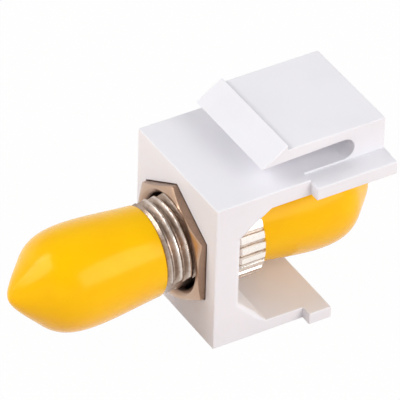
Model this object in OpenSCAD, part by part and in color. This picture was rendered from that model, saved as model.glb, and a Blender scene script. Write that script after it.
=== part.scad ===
// Single bayonet fibre optic adapter in a snap-in panel insert, with a dust cap on each port.
// Frame: X across, +Y from the front face to the rear, +Z up.
// The origin is on the base plane, at the middle of the insert's front face.

/* [Insert] */
// Width of the insert, which is the width of the panel opening
body_w = 14.5; // [13.5:0.1:16]
// Height of the front block
body_h = 16.2; // [15.6:0.1:18]
// Thickness of the front wall
wall_t = 2.8; // [2.2:0.1:3.2]
// Thickness of the base plate
base_t = 1.25; // [0.8:0.05:1.8]
// Length of the base plate from the front face
base_l = 12.2; // [11:0.1:15]
// Thickness of the roof plate
roof_t = 1.75; // [1.2:0.05:2]
// Length of the roof plate from the front face
roof_l = 18.7; // [17.5:0.1:21]
// Depth of the sloped corner where wall and base meet
base_gusset_y = 2.95; // [1:0.05:4.5]
// Height of the sloped corner where wall and base meet
base_gusset_z = 3.05; // [0.8:0.05:3.4]
// How far the lower slope bends out of a straight line
base_gusset_bend = 0.1; // [0:0.05:0.4]
// Depth of the sloped corner where wall and roof meet
roof_gusset_y = 3.1; // [1:0.05:4.5]
// Height of the sloped corner where wall and roof meet
roof_gusset_z = 2.6; // [0.8:0.05:3]
// Rounding of the moulded outer edges
edge_r = 0.35; // [0.1:0.05:0.5]

/* [Ears] */
// How far an ear stands out from the side of the insert
ear_reach = 1.2; // [0.6:0.1:2]
// Length of a base ear, up to the base plate's end
base_ear_l = 2.45; // [1.5:0.05:4]
// Length of a roof ear, up to the roof plate's end
roof_ear_l = 8.7; // [5:0.1:11]
// Thickness of a roof ear
roof_ear_t = 1.4; // [0.9:0.05:1.5]
// How far the top of a roof ear lies below the roof
ear_step = 0.2; // [0.1:0.05:0.25]

/* [Latch] */
// Width of the latch
latch_w = 12; // [9:0.1:13]
// Length of the block that carries the latch arm
latch_root_l = 3.3; // [2.4:0.1:4.5]
// Height of the gap between the roof and the arm
slot_h = 2.2; // [1.6:0.1:3]
// Thickness of the arm where it bends
arm_t = 1.1; // [0.9:0.05:1.6]
// Length of the arm from the end of the gap to the tip
arm_l = 10; // [8:0.1:10.5]
// Length of the ramp on the tooth
tooth_l = 2.8; // [2:0.1:3.4]
// Height of the tooth above the arm
tooth_h = 0.5; // [0.3:0.05:0.9]
// How far the tip lies below the top of the arm
tip_drop = 1.35; // [1.15:0.05:1.6]
// Gap round the arm's turning end
latch_gap = 0.03; // [0.02:0.01:0.08]

/* [Nut] */
// Width of the nut across its flats
nut_af = 11.1; // [10.8:0.1:12]
// Thickness of the nut
nut_t = 2; // [1.4:0.1:3]
// Depth of the hexagonal pocket in the front wall
pocket_depth = 1.1; // [0.5:0.05:1.3]
// Gap between the nut and each side of its pocket
pocket_gap = 0.1; // [0.05:0.01:0.2]
// Slope of the nut's corners, in degrees from its face
nut_chamfer = 25; // [15:1:35]
// Width of the nut's countersink beyond its bore
countersink = 0.45; // [0.1:0.05:0.45]

/* [Adapter] */
// How far the adapter's axis lies below the middle of the front face
axis_drop = 0.05; // [0:0.05:0.3]
// Turn of the adapter in its round hole, in degrees
adapter_roll = -38; // [-90:1:90]
// Outer diameter of the thread
thread_d = 9.5; // [9.2:0.05:9.6]
// How far the thread stands out from the front face
thread_reach = 3.4; // [2.4:0.1:6]
// Distance of each flat on the thread from the axis
flat_reach = 4.15; // [3.9:0.05:4.5]
// Gap between the thread and the hole in the wall
hole_gap = 0.05; // [0.03:0.01:0.1]
// Diameter of the serrated flange
flange_d = 10.8; // [10.4:0.1:11.6]
// Gap round the flange and the rear cap, where the insert is cut away for them
flange_gap = 0.15; // [0.1:0.05:0.25]
// Length of the serrated flange
flange_l = 3.1; // [2.5:0.05:4]
// Chamfer at the front of the flange
flange_chamfer = 0.4; // [0.2:0.05:0.8]
// Diameter of the plain seat between the wall and the flange
seat_d = 9.95; // [9.8:0.05:10.4]
// Length of that seat
seat_l = 0.85; // [0.4:0.05:1.2]
// Number of grooves round the flange
groove_count = 30; // [16:1:36]
// Width of a groove
groove_w = 0.36; // [0.2:0.02:0.6]
// Depth of a groove
groove_depth = 0.3; // [0.15:0.05:0.45]
// Angle from the front pin to the nearest groove
groove_turn = 2.3; // [0:0.1:6]
// Chamfer on the turned edges
turned_chamfer = 0.25; // [0.1:0.05:0.4]
// Gap in a press fit or thread
fit_gap = 0.02; // [0.01:0.01:0.04]

/* [Ports] */
// Outer diameter of a bayonet barrel
barrel_d = 7.1; // [6.9:0.05:7.3]
// Length of a bayonet barrel
barrel_l = 9.4; // [8.5:0.1:9.8]
// Bore of a port
port_d = 5.2; // [4.9:0.05:5.5]
// Width of the keyway in a barrel
keyway_w = 1.2; // [0.8:0.05:1.6]
// Length of the keyway in a barrel
keyway_l = 3.4; // [2.5:0.1:4.5]
// Diameter of a bayonet pin
pin_d = 1.8; // [1.2:0.05:2]
// How far a pin stands out from the barrel
pin_reach = 0.5; // [0.3:0.05:0.55]
// Distance of a pin's axis from the end of its barrel
pin_setback = 2.4; // [2:0.05:3]

/* [Alignment sleeve] */
// Diameter of the connector's ferrule
ferrule_d = 2.5; // [1.25:0.05:2.6]
// Wall of the split sleeve
sleeve_t = 0.35; // [0.2:0.05:0.5]
// Length of the split sleeve
sleeve_l = 11.4; // [9:0.1:12]
// Width of the slit in the sleeve
slit_w = 0.5; // [0.2:0.05:0.8]
// Gap between the sleeve and its chamber
sleeve_gap = 0.05; // [0.02:0.01:0.1]
// Thickness of the lip that holds each end of the sleeve
lip_t = 0.6; // [0.4:0.05:1]
// Diameter of the spigot that joins the two halves
spigot_d = 6.4; // [5.8:0.05:6.6]
// Length of the spigot
spigot_l = 3.8; // [2.5:0.1:4.2]

/* [Dust caps] */
// Length of the front cap
front_cap_l = 14.4; // [14:0.1:16]
// Length of the rear cap
rear_cap_l = 13.9; // [13.9:0.1:16]
// Thickness of a cap at its mouth
cap_mouth_t = 0.27; // [0.25:0.01:0.4]
// Thickness of a cap where it bulges over the pins
cap_bulge_t = 0.85; // [0.7:0.05:1.1]
// Distance of the bulge from the tip
cap_bulge_l = 7.3; // [7:0.1:7.8]
// How far a cap has drawn in where it turns into its nose
cap_shoulder_in = 1.5; // [1.2:0.05:1.8]
// Distance of that shoulder from the tip
cap_shoulder_l = 2.75; // [2.4:0.05:3]
// Gap between a cap's bore and the pins
cap_gap = 0.08; // [0.05:0.01:0.1]
// Thickness of a cap at its tip
cap_tip_t = 1.6; // [1:0.1:2]

/* [Hidden] */
$fn = 72;
eps = 0.01;
arc_steps = 4;
curve_steps = 10;

ceiling_z = body_h - roof_t;
axis_z = body_h / 2 - axis_drop;
base_bend_share = 0.6;
base_bend = [wall_t, base_t + base_gusset_z] + base_bend_share * [base_gusset_y, -base_gusset_z]
    + base_gusset_bend * [base_gusset_z, base_gusset_y] / norm([base_gusset_y, base_gusset_z]);
ear_x = body_w / 2 + ear_reach;
ear_top = body_h - ear_step;

arm_top = body_h + slot_h + arm_t;
slot_end_y = roof_l - latch_root_l;
slot_r = slot_h / 2;
hinge_y = slot_end_y - slot_r;
hinge_z = arm_top - arm_t / 2;
tip_y = slot_end_y - arm_l;

nut_front = pocket_depth - nut_t;
nut_bore_d = thread_d + 2 * fit_gap;
hole_d = thread_d + 2 * hole_gap;
hex_turn = 90;

thread_front = -thread_reach;
front_end = thread_front - barrel_l;
flange_front = wall_t + seat_l;
flange_rear = flange_front + flange_l;
rear_end = flange_rear + barrel_l;
barrel_r = barrel_d / 2;
pin_tip_r = barrel_r + pin_reach;
pin_chamfer = 0.15;
pin_seat = 0.1;
pin_root_r = port_d / 2 + pin_seat;
keyway_turn = 90;

sleeve_mid = (front_end + rear_end) / 2;
sleeve_d = ferrule_d + 2 * sleeve_t;
chamber_d = sleeve_d + 2 * sleeve_gap;
chamber_l = sleeve_l + 2 * sleeve_gap;
entry_gap = 0.05;
entry_d = ferrule_d + 2 * entry_gap;
front_floor = sleeve_mid - chamber_l / 2 - lip_t;
rear_floor = sleeve_mid + chamber_l / 2 + lip_t;
spigot_front = flange_rear - spigot_l;

pin_rim_r = pin_d / 2 - pin_chamfer;
cap_bore_r = norm([pin_tip_r, pin_rim_r]) + cap_gap;
cap_bulge_r = cap_bore_r + cap_bulge_t;
// Slope of a cap where its nose starts, and how far its curves run along their end directions
nose_slope = [-1.05, 1];
bulge_pull = 2.1;
nose_pull = 1.1;
tip_pull = 0.95;
bore_pull = 2.2;
bore_shortfall = 5.8;

function unit(v) = v / norm(v);

// Rounds corner b of the path a, b, c with an arc of radius r.
function rounded(a, b, c, r) =
    let (u = unit(a - b), v = unit(c - b), half = acos(u * v) / 2,
        centre = b + unit(u + v) * r / sin(half),
        from = b + u * r / tan(half) - centre,
        to = b + v * r / tan(half) - centre,
        start = atan2(from.y, from.x),
        turn = atan2(from.x * to.y - from.y * to.x, from * to))
    [for (i = [0:arc_steps]) centre + r * [cos(start + turn * i / arc_steps), sin(start + turn * i / arc_steps)]];

// Turns a list of [x, y, radius] corners into an outline with rounded corners.
function outline(corners) =
    let (n = len(corners), p = [for (c = corners) [c.x, c.y]])
    [for (i = [0:n - 1]) each corners[i][2] > 0
        ? rounded(p[(i + n - 1) % n], p[i], p[(i + 1) % n], corners[i][2]) : [p[i]]];

// Points of a cubic curve from a to d, drawn towards b and c, without its first point.
function curve(a, b, c, d) =
    [for (i = [1:curve_steps]) let (t = i / curve_steps, s = 1 - t)
        s * s * s * a + 3 * s * s * t * b + 3 * s * t * t * c + t * t * t * d];

function box_corners(w, h, r) = [[-w / 2, 0, r], [w / 2, 0, r], [w / 2, h, r], [-w / 2, h, r]];

// Stands a side outline, drawn in Y and Z, up across the width w.
module across(w) {
    translate([-w / 2, 0, 0]) rotate([90, 0, 90]) linear_extrude(w) children();
}

// Runs a front outline, drawn in X and Z, along Y between two places.
module along(from, to) {
    translate([0, to, 0]) rotate([90, 0, 0]) linear_extrude(to - from) children();
}

// Turns an outline, drawn as [radius, y], about the adapter's axis.
module turned(points) {
    translate([0, 0, axis_z]) rotate([-90, 0, 0]) rotate_extrude() polygon(points);
}

// A plain hole on the adapter's axis.
module axial_hole(d, from, to) {
    translate([0, from, axis_z]) rotate([-90, 0, 0]) cylinder(d = d, h = to - from);
}

// Places children at the adapter's axis, turned by an angle, with X pointing outwards.
module at_angle(angle, y) {
    translate([0, y, axis_z]) rotate([0, -angle, 0]) children();
}

module side_outline() {
    polygon(outline([
        [0, 0, edge_r],
        [base_l, 0, edge_r],
        [base_l, base_t, edge_r],
        [wall_t + base_gusset_y, base_t, edge_r],
        [base_bend.x, base_bend.y, edge_r],
        [wall_t, base_t + base_gusset_z, edge_r],
        [wall_t, ceiling_z - roof_gusset_z, edge_r],
        [wall_t + roof_gusset_y, ceiling_z, edge_r],
        [roof_l, ceiling_z, edge_r],
        [roof_l, body_h, edge_r],
        [0, body_h, edge_r]
    ]));
}

// Front block, base and roof in one section, with the edges of the front face rounded.
module shell() {
    intersection() {
        across(body_w) side_outline();
        along(-eps, roof_l + eps) polygon(outline(box_corners(body_w, body_h, edge_r)));
        linear_extrude(body_h) polygon(outline([
            [-body_w / 2, 0, edge_r], [body_w / 2, 0, edge_r],
            [body_w / 2, roof_l, 0], [-body_w / 2, roof_l, 0]]));
    }
}

// Lowers the roof beside the latch to the level of the ears.
module ear_steps() {
    for (side = [-1, 1])
        translate([side < 0 ? -ear_x : latch_w / 2, roof_l - roof_ear_l, ear_top])
            cube([ear_x - latch_w / 2, roof_ear_l + eps, ear_step + eps]);
}

module roof_ears() {
    translate([0, 0, ear_top - roof_ear_t]) along(roof_l - roof_ear_l, roof_l)
        polygon(outline(box_corners(2 * ear_x, roof_ear_t, edge_r)));
}

module base_ears() {
    along(base_l - base_ear_l, base_l)
        polygon(outline(box_corners(2 * ear_x, base_t, edge_r)));
}

// Block at the rear of the roof, with the round end of the gap and the seat of the arm's turning end.
module latch_root() {
    across(latch_w) difference() {
        polygon(outline([
            [hinge_y, body_h - edge_r, 0],
            [roof_l, body_h - edge_r, 0],
            [roof_l, arm_top, edge_r],
            [hinge_y, arm_top, 0]
        ]));
        translate([hinge_y, body_h + slot_r]) circle(r = slot_r);
        translate([hinge_y - eps, body_h]) square([2 * eps, slot_h]);
        translate([hinge_y, hinge_z]) circle(r = arm_t / 2 + latch_gap);
    }
}

module hex_pocket() {
    translate([0, -eps, axis_z]) rotate([-90, hex_turn, 0])
        cylinder(d = (nut_af + 2 * pocket_gap) / cos(30), h = pocket_depth + eps, $fn = 6);
}

module housing() {
    color("whitesmoke") difference() {
        union() {
            difference() {
                shell();
                ear_steps();
            }
            roof_ears();
            base_ears();
            latch_root();
        }
        hex_pocket();
        axial_hole(hole_d, -eps, wall_t + eps);
        axial_hole(flange_d + 2 * flange_gap, wall_t, flange_rear);
        axial_hole(2 * (cap_bulge_r + flange_gap), wall_t, roof_l + eps);
    }
}

// Flexing arm of the latch, with its ramped tooth and the round end that it bends about.
module latch_arm() {
    color("white") union() {
        across(latch_w) polygon([
            [tip_y, arm_top - tip_drop],
            [tip_y + tooth_l, arm_top + tooth_h],
            [tip_y + tooth_l, arm_top],
            [hinge_y, arm_top],
            [hinge_y, arm_top - arm_t]
        ]);
        across(latch_w) translate([hinge_y, hinge_z]) circle(d = arm_t);
    }
}

module hex_nut() {
    corner_r = nut_af / 2 / cos(30);
    slope = (corner_r - nut_af / 2) * tan(nut_chamfer);
    color("silver") difference() {
        intersection() {
            translate([0, nut_front, axis_z]) rotate([-90, hex_turn, 0]) cylinder(r = corner_r, h = nut_t, $fn = 6);
            turned([
                [0, nut_front], [nut_af / 2, nut_front], [corner_r, nut_front + slope],
                [corner_r, pocket_depth - slope], [nut_af / 2, pocket_depth], [0, pocket_depth]
            ]);
        }
        axial_hole(nut_bore_d, nut_front - eps, pocket_depth + eps);
        turned([
            [0, nut_front - eps], [nut_bore_d / 2 + countersink + eps, nut_front - eps],
            [nut_bore_d / 2, nut_front + countersink], [0, nut_front + countersink]
        ]);
    }
}

// Threaded shank, serrated flange and front barrel, turned from one bar.
module body_blank() {
    turned([
        [0, front_end],
        [barrel_r - turned_chamfer, front_end],
        [barrel_r, front_end + turned_chamfer],
        [barrel_r, thread_front],
        [thread_d / 2 - turned_chamfer, thread_front],
        [thread_d / 2, thread_front + turned_chamfer],
        [thread_d / 2, wall_t],
        [seat_d / 2, wall_t],
        [seat_d / 2, flange_front],
        [flange_d / 2 - flange_chamfer, flange_front],
        [flange_d / 2, flange_front + flange_chamfer],
        [flange_d / 2, flange_rear - turned_chamfer],
        [flange_d / 2 - turned_chamfer, flange_rear],
        [0, flange_rear]
    ]);
}

module thread_flats() {
    for (turn = [0, 180])
        at_angle(adapter_roll + turn, thread_front - eps)
            translate([flat_reach, 0, -thread_d / 2]) cube([thread_d, wall_t - thread_front + eps, thread_d]);
}

module serrations() {
    for (i = [0:groove_count - 1])
        at_angle(adapter_roll + groove_turn + i * 360 / groove_count, flange_front - eps)
            translate([flange_d / 2 - groove_depth, 0, -groove_w / 2])
                cube([groove_depth + eps, flange_l + 2 * eps, groove_w]);
}

module pin_holes(y) {
    for (turn = [0, 180])
        at_angle(adapter_roll + turn, y) rotate([0, 90, 0]) cylinder(d = pin_d + 2 * fit_gap, h = barrel_r + eps);
}

module keyway(end) {
    inwards = end < 0 ? 0 : -keyway_l - eps;
    at_angle(adapter_roll + keyway_turn, end + inwards + (end < 0 ? -eps : eps))
        translate([0, 0, -keyway_w / 2]) cube([barrel_r + eps, keyway_l + eps, keyway_w]);
}

module adapter_body() {
    color("tan") difference() {
        body_blank();
        thread_flats();
        serrations();
        pin_holes(front_end + pin_setback);
        keyway(front_end);
        axial_hole(port_d, front_end - eps, front_floor);
        axial_hole(entry_d, front_floor - eps, front_floor + lip_t + eps);
        axial_hole(chamber_d, front_floor + lip_t, spigot_front + eps);
        axial_hole(spigot_d + 2 * fit_gap, spigot_front, flange_rear + eps);
    }
}

// Rear half of the body, whose spigot is pressed into the flange behind the sleeve.
module rear_barrel() {
    color("burlywood") difference() {
        turned([
            [0, spigot_front + fit_gap],
            [spigot_d / 2 - turned_chamfer, spigot_front + fit_gap],
            [spigot_d / 2, spigot_front + fit_gap + turned_chamfer],
            [spigot_d / 2, flange_rear],
            [barrel_r, flange_rear],
            [barrel_r, rear_end - turned_chamfer],
            [barrel_r - turned_chamfer, rear_end],
            [0, rear_end]
        ]);
        pin_holes(rear_end - pin_setback);
        keyway(rear_end);
        axial_hole(port_d, rear_floor, rear_end + eps);
        axial_hole(entry_d, rear_floor - lip_t - eps, rear_floor + eps);
        axial_hole(chamber_d, spigot_front - eps, rear_floor - lip_t);
    }
}

// Split tube that lines up the two ferrules and floats between the lips.
module alignment_sleeve() {
    color("ghostwhite") difference() {
        axial_hole(sleeve_d, sleeve_mid - sleeve_l / 2, sleeve_mid + sleeve_l / 2);
        axial_hole(ferrule_d, sleeve_mid - sleeve_l / 2 - eps, sleeve_mid + sleeve_l / 2 + eps);
        at_angle(adapter_roll + keyway_turn, sleeve_mid - sleeve_l / 2 - eps)
            translate([0, 0, -slit_w / 2]) cube([sleeve_d, sleeve_l + 2 * eps, slit_w]);
    }
}

// Pin pressed through a barrel's wall, which a connector's bayonet ring turns on to.
module bayonet_pin(y, turn) {
    color("gainsboro") at_angle(adapter_roll + turn, y) rotate([0, 90, 0]) rotate_extrude() polygon([
        [0, pin_root_r],
        [pin_d / 2, pin_root_r],
        [pin_d / 2, pin_tip_r - pin_chamfer],
        [pin_rim_r, pin_tip_r],
        [0, pin_tip_r]
    ]);
}

// Outline of a soft cap from its mouth to its tip, as [radius, distance], inside and out.
function cap_outline(length) =
    let (mouth = [cap_bore_r + cap_mouth_t, 0],
        bulge = [cap_bulge_r, length - cap_bulge_l],
        shoulder = [cap_bulge_r - cap_shoulder_in, length - cap_shoulder_l],
        tip = [0, length],
        third = (bulge - mouth) / 3,
        bore_end = [cap_bore_r, length - bore_shortfall],
        inner_tip = [0, length - cap_tip_t])
    concat([mouth],
        curve(mouth, mouth + third, bulge - [0, third.y], bulge),
        curve(bulge, bulge + [0, bulge_pull], shoulder - nose_slope * nose_pull, shoulder),
        curve(shoulder, shoulder + nose_slope * nose_pull, tip + [tip_pull, 0], tip),
        [inner_tip],
        curve(inner_tip, inner_tip + [tip_pull, 0], bore_end + [0, bore_pull], bore_end),
        [[cap_bore_r, 0]]);

// Cap pushed on to a barrel, from its mouth at y towards its tip, in the direction of way.
module dust_cap(y, way, length) {
    color("gold") turned([for (p = cap_outline(length)) [p.x, y + way * p.y]]);
}

module dust_cap_front() {
    dust_cap(thread_front, -1, front_cap_l);
}

module dust_cap_rear() {
    dust_cap(flange_rear, 1, rear_cap_l);
}

housing();
latch_arm();
hex_nut();
adapter_body();
rear_barrel();
alignment_sleeve();
bayonet_pin(front_end + pin_setback, 0);  // bayonet_pin_front_1
bayonet_pin(front_end + pin_setback, 180);  // bayonet_pin_front_2
bayonet_pin(rear_end - pin_setback, 0);  // bayonet_pin_rear_1
bayonet_pin(rear_end - pin_setback, 180);  // bayonet_pin_rear_2
dust_cap_front();
dust_cap_rear();
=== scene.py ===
"""Looks of a bayonet fibre optic adapter in a white snap-in panel insert, with two yellow dust caps.

Lengths are in millimetres and become metres when a mesh, a lamp or a shader is made. The frame is that
of the solids: X across, +Y from the front face to the rear, +Z up.
"""

import logging
import math
from dataclasses import dataclass
from enum import Enum
from functools import lru_cache
from typing import Optional, Sequence, Union

import bmesh
import bpy
import numpy as np
from mathutils import Matrix, Vector


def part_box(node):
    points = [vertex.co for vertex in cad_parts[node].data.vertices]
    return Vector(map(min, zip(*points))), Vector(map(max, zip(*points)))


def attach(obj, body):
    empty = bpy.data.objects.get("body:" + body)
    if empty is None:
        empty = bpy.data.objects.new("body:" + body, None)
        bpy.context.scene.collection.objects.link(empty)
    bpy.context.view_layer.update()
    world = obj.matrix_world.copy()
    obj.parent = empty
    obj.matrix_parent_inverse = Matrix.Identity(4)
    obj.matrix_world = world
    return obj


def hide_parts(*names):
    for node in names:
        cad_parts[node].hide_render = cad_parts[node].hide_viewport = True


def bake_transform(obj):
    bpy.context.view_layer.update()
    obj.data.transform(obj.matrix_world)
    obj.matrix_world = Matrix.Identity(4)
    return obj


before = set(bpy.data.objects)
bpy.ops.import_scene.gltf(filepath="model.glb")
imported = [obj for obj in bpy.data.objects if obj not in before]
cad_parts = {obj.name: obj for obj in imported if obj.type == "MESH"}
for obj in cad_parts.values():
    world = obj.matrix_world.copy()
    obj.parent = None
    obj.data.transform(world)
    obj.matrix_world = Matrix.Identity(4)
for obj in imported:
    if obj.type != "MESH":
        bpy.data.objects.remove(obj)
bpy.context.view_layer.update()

LOG = logging.getLogger("adapter")
MM = 0.001
AXIS_HEIGHT = 8.05
ROUND_ABOVE_DEG = 28.0
SHARP_DEG = 38.0
POLE_RADIUS = 1e-6
Point = tuple[float, float]
Pair = tuple[float, float]
Colour = tuple[float, float, float]
PerColumn = Union[float, np.ndarray]


class Across(Enum):
    """Plane in which a flat outline is drawn before it is given its thickness."""

    X = "drawn in Y and Z, thick along X"
    Y = "drawn in X and Z, thick along Y"


class Expression:
    """A shader socket that takes part in Python arithmetic."""

    def __init__(self, shader: "Shader", socket: bpy.types.NodeSocket) -> None:
        """Wraps a socket.

        Args:
            shader: node tree that the socket belongs to.
            socket: output socket that holds the value.
        """
        self.shader = shader
        self.socket = socket

    def _math(self, operation: str, *values: Union["Expression", float]) -> "Expression":
        """Adds a Math node and returns its result."""
        return self.shader.node("ShaderNodeMath", {"operation": operation}, dict(enumerate(values)))

    def __add__(self, other: Union["Expression", float]) -> "Expression":
        """Returns self + other."""
        return self._math("ADD", self, other)

    __radd__ = __add__

    def __sub__(self, other: Union["Expression", float]) -> "Expression":
        """Returns self - other."""
        return self._math("SUBTRACT", self, other)

    def __rsub__(self, other: float) -> "Expression":
        """Returns other - self."""
        return self._math("SUBTRACT", other, self)

    def __mul__(self, other: Union["Expression", float]) -> "Expression":
        """Returns self * other."""
        return self._math("MULTIPLY", self, other)

    __rmul__ = __mul__

    def maximum(self, other: Union["Expression", float]) -> "Expression":
        """Returns the larger of self and other."""
        return self._math("MAXIMUM", self, other)

    def absolute(self) -> "Expression":
        """Returns self without its sign."""
        return self._math("ABSOLUTE", self)

    def between(self, low: float, high: float) -> "Expression":
        """Turns the value into a mask with a smooth rise.

        Args:
            low: value at which the mask leaves 0.
            high: value at which it reaches 1.

        Returns:
            The mask, 0 below low and 1 above high.
        """
        settings = {"interpolation_type": "SMOOTHSTEP"}
        inputs = {"Value": self, "From Min": low, "From Max": high}
        return self.shader.node("ShaderNodeMapRange", settings, inputs)


class Shader:
    """Nodes of a material or of the world."""

    def __init__(self, owner: Union[bpy.types.Material, bpy.types.World],
                 output: str = "ShaderNodeOutputMaterial") -> None:
        """Empties the owner's node tree, down to its output.

        Args:
            owner: material or world that the nodes belong to.
            output: node type of its output.
        """
        owner.use_nodes = True
        self.owner = owner
        self.tree = owner.node_tree
        self.tree.nodes.clear()
        self.output = self.tree.nodes.new(output)

    def node(self, kind: str, settings: Optional[dict] = None, inputs: Optional[dict] = None,
             out: Union[str, int] = 0) -> Expression:
        """Adds a node.

        Args:
            kind: node type's identifier.
            settings: properties of the node, set before its sockets; "stops" fills a colour ramp.
            inputs: values or expressions for the sockets, by name or index.
            out: output socket to return, by name or index.

        Returns:
            The chosen output as an expression.
        """
        made = self.tree.nodes.new(kind)
        for key, value in (settings or {}).items():
            if key == "stops":
                self._fill_ramp(made.color_ramp, value)
            else:
                setattr(made, key, value)
        for key, value in (inputs or {}).items():
            self._feed(made.inputs[key], value)
        return Expression(self, made.outputs[out])

    def _fill_ramp(self, ramp: bpy.types.ColorRamp, stops: Sequence[tuple[float, Colour]]) -> None:
        """Sets a ramp's stops.

        Args:
            ramp: ramp to fill, with no more elements than there are stops.
            stops: place and colour of each stop.
        """
        while len(ramp.elements) < len(stops):
            ramp.elements.new(1.0)
        for element, (place, colour) in zip(ramp.elements, stops):
            element.position = place
            element.color = (*colour, 1.0)

    def _feed(self, socket: bpy.types.NodeSocket, value: object) -> None:
        """Links an expression to a socket, or sets the socket's own value.

        Args:
            socket: input socket.
            value: expression, number, vector or, for a colour socket, red, green and blue.
        """
        if isinstance(value, Expression):
            self.tree.links.new(value.socket, socket)
        elif isinstance(value, tuple) and socket.type == "RGBA":
            socket.default_value = (*value, 1.0)
        else:
            socket.default_value = value

    def place(self) -> Expression:
        """Returns the surface point in the object's own space, in metres."""
        return self.node("ShaderNodeTexCoord", out="Object")

    def part(self, vector: Expression, axis: str) -> Expression:
        """Returns one part of a vector."""
        return self.node("ShaderNodeSeparateXYZ", {}, {0: vector}, axis)

    def combine(self, *parts: Expression) -> Expression:
        """Returns a vector with the given X, Y and Z."""
        return self.node("ShaderNodeCombineXYZ", {}, dict(enumerate(parts)))

    def vector_math(self, operation: str, *values: object, out: Union[str, int] = 0) -> Expression:
        """Adds a Vector Math node and returns its result."""
        return self.node("ShaderNodeVectorMath", {"operation": operation}, dict(enumerate(values)), out)

    def axis_radius(self) -> Expression:
        """Returns the distance of the surface point to the adapter's axis, in metres."""
        from_centre = self.vector_math("SUBTRACT", self.place(), (0.0, 0.0, AXIS_HEIGHT * MM))
        across = self.vector_math("MULTIPLY", from_centre, (1.0, 0.0, 1.0))
        return self.vector_math("LENGTH", across, out="Value")

    def noise_at(self, where: Expression, size_mm: float, detail: float, roughness: float) -> Expression:
        """Adds a noise field over any vector.

        Args:
            where: vector that the field is read at, in metres.
            size_mm: size of a patch.
            detail: number of finer layers.
            roughness: weight of the finer layers.

        Returns:
            The field, about 0 to 1.
        """
        sockets = {"Vector": where, "Scale": 1.0 / (size_mm * MM), "Detail": detail, "Roughness": roughness}
        return self.node("ShaderNodeTexNoise", {"noise_dimensions": "3D"}, sockets, "Fac")

    def noise(self, size_mm: float, detail: float, roughness: float) -> Expression:
        """Adds a noise field over the object, as noise_at does."""
        return self.noise_at(self.place(), size_mm, detail, roughness)

    def blend(self, mask: Expression, first: Colour, second: Colour) -> Expression:
        """Mixes two colours by a mask.

        Args:
            mask: share of the second colour.
            first: colour where the mask is 0.
            second: colour where the mask is 1.

        Returns:
            The mixed colour.
        """
        return self.node("ShaderNodeMix", {"data_type": "RGBA"}, {0: mask, 6: first, 7: second}, 2)

    def bump(self, height: Expression, depth_mm: float, strength: float) -> Expression:
        """Adds a bump.

        Args:
            height: height field, about 0 to 1.
            depth_mm: height that a field of 1 stands for.
            strength: share of the effect.

        Returns:
            The bent normal.
        """
        sockets = {"Height": height, "Distance": depth_mm * MM, "Strength": strength}
        return self.node("ShaderNodeBump", {}, sockets)

    def principled(self, **sockets: object) -> Expression:
        """Adds the Principled shader.

        Args:
            sockets: values or expressions, with underscores in place of spaces in the socket names.

        Returns:
            The shader.
        """
        inputs = {key.replace("_", " "): value for key, value in sockets.items()}
        return self.node("ShaderNodeBsdfPrincipled", {}, inputs)

    def surface(self, shade: Expression) -> None:
        """Joins a shader to the output."""
        self.tree.links.new(shade.socket, self.output.inputs["Surface"])


@dataclass(frozen=True)
class Finish:
    """What a piece is made of and how its surface looks.

    Attributes:
        name: name of the material.
    """

    name: str

    def shade(self, shader: Shader) -> Expression:
        """Adds the finish's nodes and returns the shader that ends them."""
        raise NotImplementedError

    def material(self) -> bpy.types.Material:
        """Returns a new material with this finish."""
        shader = Shader(bpy.data.materials.new(self.name))
        shader.surface(self.shade(shader))
        return shader.owner


@dataclass(frozen=True)
class MouldedPlastic(Finish):
    """Satin injection-moulded plastic with a very fine spark texture.

    Attributes:
        colour: main colour.
        flow_colour: colour of the flow marks.
        roughness: mean roughness.
        flow_mm: size of the flow marks.
        grain_mm: size of the spark texture's grains.
        sink_mm: size of the shallow sinks.
        grain_change: how much the grains change the roughness.
        relief_mm: height of the relief.
    """

    colour: Colour
    flow_colour: Colour
    roughness: float
    flow_mm: float = 6.0
    grain_mm: float = 0.14
    sink_mm: float = 3.5
    grain_change: float = 0.1
    relief_mm: float = 0.02

    def shade(self, shader: Shader) -> Expression:
        """Adds the plastic's nodes.

        Args:
            shader: nodes that are being made.

        Returns:
            The shader that ends them.
        """
        flow = shader.noise(self.flow_mm, detail=2.0, roughness=0.5)
        grain = shader.noise(self.grain_mm, detail=3.0, roughness=0.6)
        sink = shader.noise(self.sink_mm, detail=1.0, roughness=0.4)
        return shader.principled(
            Base_Color=shader.blend(flow.between(0.35, 0.7), self.colour, self.flow_colour),
            Roughness=grain * self.grain_change + (self.roughness - self.grain_change / 2),
            Normal=shader.bump(grain * 0.25 + sink, self.relief_mm, strength=0.5),
            Specular_IOR_Level=0.45, IOR=1.5,
            Subsurface_Weight=0.08, Subsurface_Scale=0.8 * MM, Subsurface_Radius=(1.0, 0.8, 0.7))


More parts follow.
